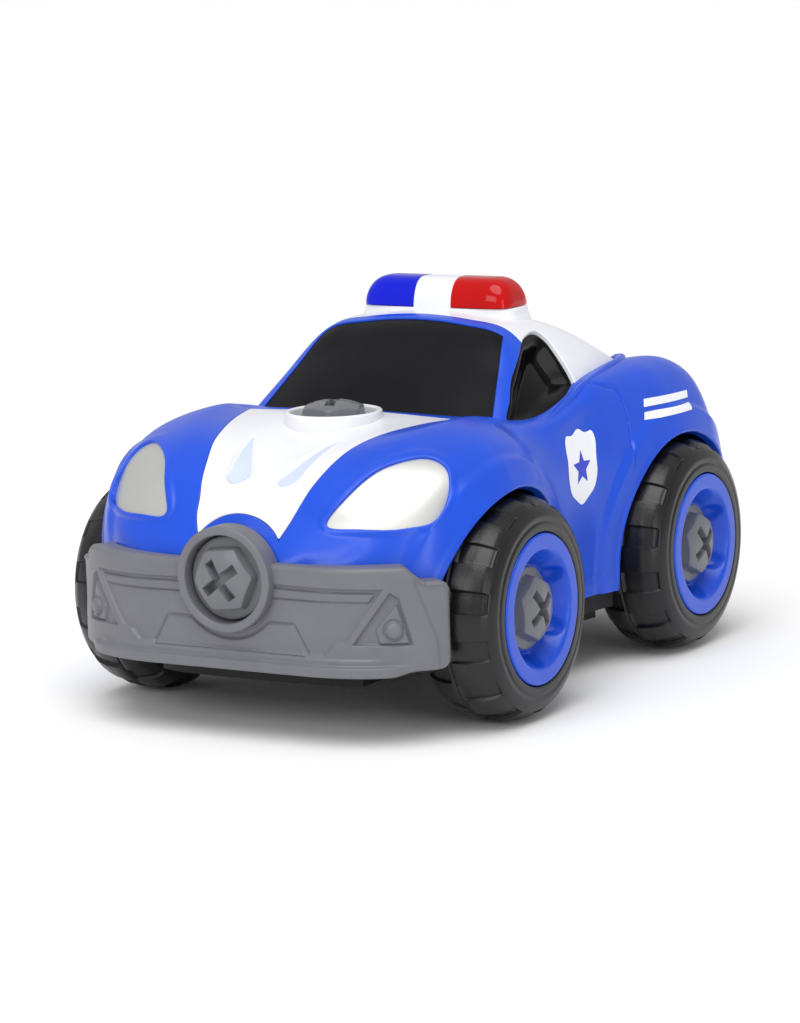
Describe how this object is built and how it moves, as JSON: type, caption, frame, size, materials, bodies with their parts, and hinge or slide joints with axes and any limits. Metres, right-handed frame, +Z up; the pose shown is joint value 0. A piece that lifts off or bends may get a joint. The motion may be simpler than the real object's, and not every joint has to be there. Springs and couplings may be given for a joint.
{
  "type": "take-apart toy police car",
  "caption": "Take-apart toy police car: rounded blue body, white bonnet and roof, light bar, pull-off front bumper, chunky tyres and big slotted bolts that a toy screwdriver turns",
  "frame": {"origin": "on the ground under the middle of the car's overall length and width", "axes": "+X forwards, +Y to the car's left, +Z up"},
  "size_m": [0.215, 0.1446, 0.1187],
  "materials": {
    "floor_black": "fine matt moulding",
    "screw_steel": "plain steel",
    "body_blue": "satin gloss moulding",
    "cabin_black": "polished",
    "screen_black": "smooth satin",
    "roof_white": "satin gloss moulding",
    "bar_white": "satin gloss moulding",
    "bonnet_white": "satin gloss moulding",
    "lens_red": "clear tinted plastic",
    "lens_blue": "clear tinted plastic",
    "lamp_silver": "silver paint under a clear coat",
    "tail_red": "tinted plastic",
    "bumper_grey": "satin moulding",
    "bolt_grey": "satin moulding",
    "tyre_black": "soft matt rubber",
    "rim_blue": "satin gloss moulding"
  },
  "bodies": {
    "car": {"chassis": "floor_black", "chassis_screws": "screw_steel", "body_shell": "body_blue", "cabin_insert": "cabin_black", "windscreen": "screen_black", "roof_panel": "roof_white", "lightbar_base": "bar_white", "lens_red": "lens_red", "lens_blue": "lens_blue", "headlamp_left": "lamp_silver", "headlamp_right": "lamp_silver", "tail_lamp_left": "tail_red", "tail_lamp_right": "tail_red", "rear_bumper": "bumper_grey"},
    "hood": {"hood_panel": "bonnet_white"},
    "hood_bolt": {"hood_bolt": "bolt_grey"},
    "bumper": {"front_bumper": "bumper_grey"},
    "bumper_bolt": {"bumper_bolt": "bolt_grey"},
    "wheel_front_left": {"tyre_front_left": "tyre_black", "rim_front_left": "rim_blue"},
    "bolt_front_left": {"bolt_front_left": "bolt_grey"},
    "wheel_front_right": {"tyre_front_right": "tyre_black", "rim_front_right": "rim_blue"},
    "bolt_front_right": {"bolt_front_right": "bolt_grey"},
    "wheel_rear_left": {"tyre_rear_left": "tyre_black", "rim_rear_left": "rim_blue"},
    "bolt_rear_left": {"bolt_rear_left": "bolt_grey"},
    "wheel_rear_right": {"tyre_rear_right": "tyre_black", "rim_rear_right": "rim_blue"},
    "bolt_rear_right": {"bolt_rear_right": "bolt_grey"}
  },
  "joints": [
    {"name": "bonnet_lift", "type": "slide", "parent": "car", "child": "hood", "axis": [0, 0, 1], "range_m": [0, 0.04]},
    {"name": "bonnet_bolt_turn", "type": "hinge", "parent": "hood", "child": "hood_bolt", "pos_m": [0.0415, 0, 0.085], "axis": [0, 0, 1], "continuous": true},
    {"name": "bumper_pull", "type": "slide", "parent": "car", "child": "bumper", "axis": [1, 0, 0], "range_m": [0, 0.036]},
    {"name": "bumper_bolt_turn", "type": "hinge", "parent": "bumper", "child": "bumper_bolt", "pos_m": [0.1, 0, 0.047], "axis": [1, 0, 0], "continuous": true},
    {"name": "wheel_turn_front_left", "type": "hinge", "parent": "car", "child": "wheel_front_left", "pos_m": [0.0485, 0.0595, 0.033], "axis": [0, 1, 0], "continuous": true},
    {"name": "bolt_turn_front_left", "type": "hinge", "parent": "car", "child": "bolt_front_left", "pos_m": [0.0485, 0.068, 0.033], "axis": [0, 1, 0], "continuous": true},
    {"name": "wheel_turn_front_right", "type": "hinge", "parent": "car", "child": "wheel_front_right", "pos_m": [0.0485, -0.0595, 0.033], "axis": [0, 1, 0], "continuous": true},
    {"name": "bolt_turn_front_right", "type": "hinge", "parent": "car", "child": "bolt_front_right", "pos_m": [0.0485, -0.068, 0.033], "axis": [0, 1, 0], "continuous": true},
    {"name": "wheel_turn_rear_left", "type": "hinge", "parent": "car", "child": "wheel_rear_left", "pos_m": [-0.0605, 0.0595, 0.033], "axis": [0, 1, 0], "continuous": true},
    {"name": "bolt_turn_rear_left", "type": "hinge", "parent": "car", "child": "bolt_rear_left", "pos_m": [-0.0605, 0.068, 0.033], "axis": [0, 1, 0], "continuous": true},
    {"name": "wheel_turn_rear_right", "type": "hinge", "parent": "car", "child": "wheel_rear_right", "pos_m": [-0.0605, -0.0595, 0.033], "axis": [0, 1, 0], "continuous": true},
    {"name": "bolt_turn_rear_right", "type": "hinge", "parent": "car", "child": "bolt_rear_right", "pos_m": [-0.0605, -0.068, 0.033], "axis": [0, 1, 0], "continuous": true}
  ]
}
